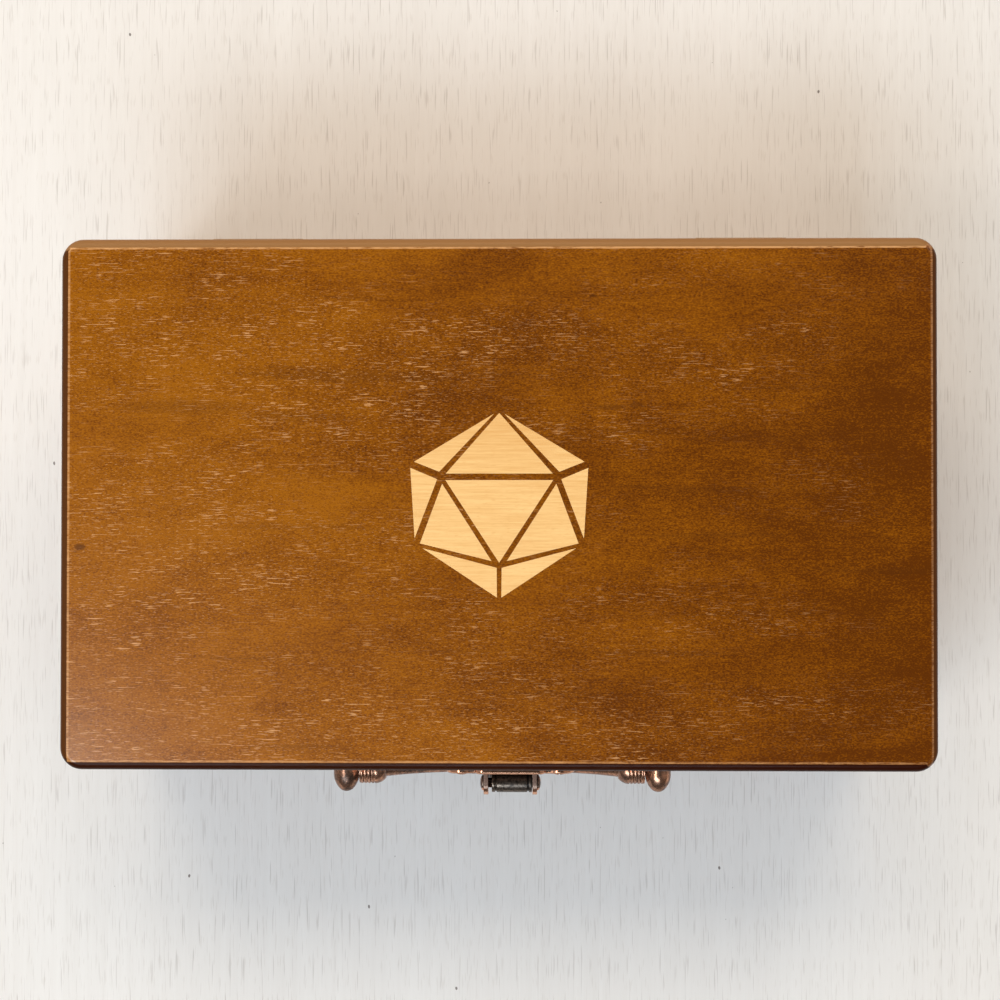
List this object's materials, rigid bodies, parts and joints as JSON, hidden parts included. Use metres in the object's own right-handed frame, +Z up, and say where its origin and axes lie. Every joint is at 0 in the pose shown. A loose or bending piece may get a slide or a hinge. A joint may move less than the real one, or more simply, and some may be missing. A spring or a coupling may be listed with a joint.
{
  "type": "dice storage chest",
  "caption": "Stained wooden chest with an inlaid hinged lid, hasp latch, lift-out divided tray and a divided drawer with a bail pull.",
  "frame": {"origin": "centre of the felt underside that the chest rests on", "axes": "+Z up, -Y out of the chest's front with the latch and drawer, +X to the right of someone who faces the front"},
  "size_m": [0.28, 0.1921, 0.12],
  "materials": {
    "stained_wood": "satin lacquer over amber-brown stain",
    "inlay_wood": "satin lacquer over pale wood",
    "inner_wood": "thin lacquer",
    "lining_felt": "napped felt",
    "aged_copper": "dark patina worn to copper on the edges",
    "dark_steel": "dark burnished steel",
    "aged_brass": "darkened brass",
    "screw_metal": "browned steel"
  },
  "bodies": {
    "case": {"base_felt": "lining_felt", "base_panel": "stained_wood", "case_side_left": "stained_wood", "case_side_right": "stained_wood", "case_back": "stained_wood", "case_apron": "stained_wood", "shelf": "inner_wood", "shelf_felt": "lining_felt", "drawer_runners": "inner_wood", "hinge_leaf_case_left": "aged_brass", "hinge_leaf_case_right": "aged_brass", "hinge_pin_left": "aged_brass", "hinge_pin_right": "aged_brass", "hinge_screws_case": "screw_metal", "catch_plate": "aged_copper", "catch_screws": "screw_metal"},
    "lid": {"lid_panel": "stained_wood", "lid_rim_front": "stained_wood", "lid_rim_back": "stained_wood", "lid_rim_left": "stained_wood", "lid_rim_right": "stained_wood", "inlay_facets": "inlay_wood", "lid_felt": "lining_felt", "hinge_leaf_lid_left": "aged_brass", "hinge_leaf_lid_right": "aged_brass", "hinge_screws_lid": "screw_metal", "latch_plate": "aged_copper", "latch_pin": "dark_steel", "latch_screws": "screw_metal"},
    "hasp": {"hasp": "dark_steel"},
    "drawer": {"drawer_front": "stained_wood", "drawer_side_left": "inner_wood", "drawer_side_right": "inner_wood", "drawer_back": "inner_wood", "drawer_bottom": "inner_wood", "drawer_felt": "lining_felt", "drawer_long_divider": "inner_wood", "drawer_cross_dividers": "inner_wood", "handle_post_left": "aged_copper", "handle_post_right": "aged_copper", "handle_screws": "screw_metal"},
    "bail": {"bail_handle": "aged_copper"},
    "tray": {"tray_wall_front": "inner_wood", "tray_wall_back": "inner_wood", "tray_wall_left": "inner_wood", "tray_wall_right": "inner_wood", "tray_bottom": "inner_wood", "tray_felt": "lining_felt", "tray_long_dividers": "inner_wood", "tray_cross_dividers": "inner_wood"}
  },
  "joints": [
    {"name": "lid_hinge", "type": "hinge", "parent": "case", "child": "lid", "pos_m": [0, 0.086, 0.094], "axis": [-1, 0, 0], "range_deg": [0, 95]},
    {"name": "hasp_hinge", "type": "hinge", "parent": "lid", "child": "hasp", "pos_m": [0.0045, -0.0909, 0.102], "axis": [-1, 0, 0], "range_deg": [-6.6, 100]},
    {"name": "drawer_slide", "type": "slide", "parent": "case", "child": "drawer", "axis": [0, -1, 0], "range_m": [0, 0.115]},
    {"name": "bail_swing", "type": "hinge", "parent": "drawer", "child": "bail", "pos_m": [0, -0.0953, 0.031], "axis": [-1, 0, 0], "range_deg": [-36, 216]},
    {"name": "tray_lift", "type": "slide", "parent": "case", "child": "tray", "axis": [0, 0, 1], "range_m": [0, 0.02]}
  ]
}
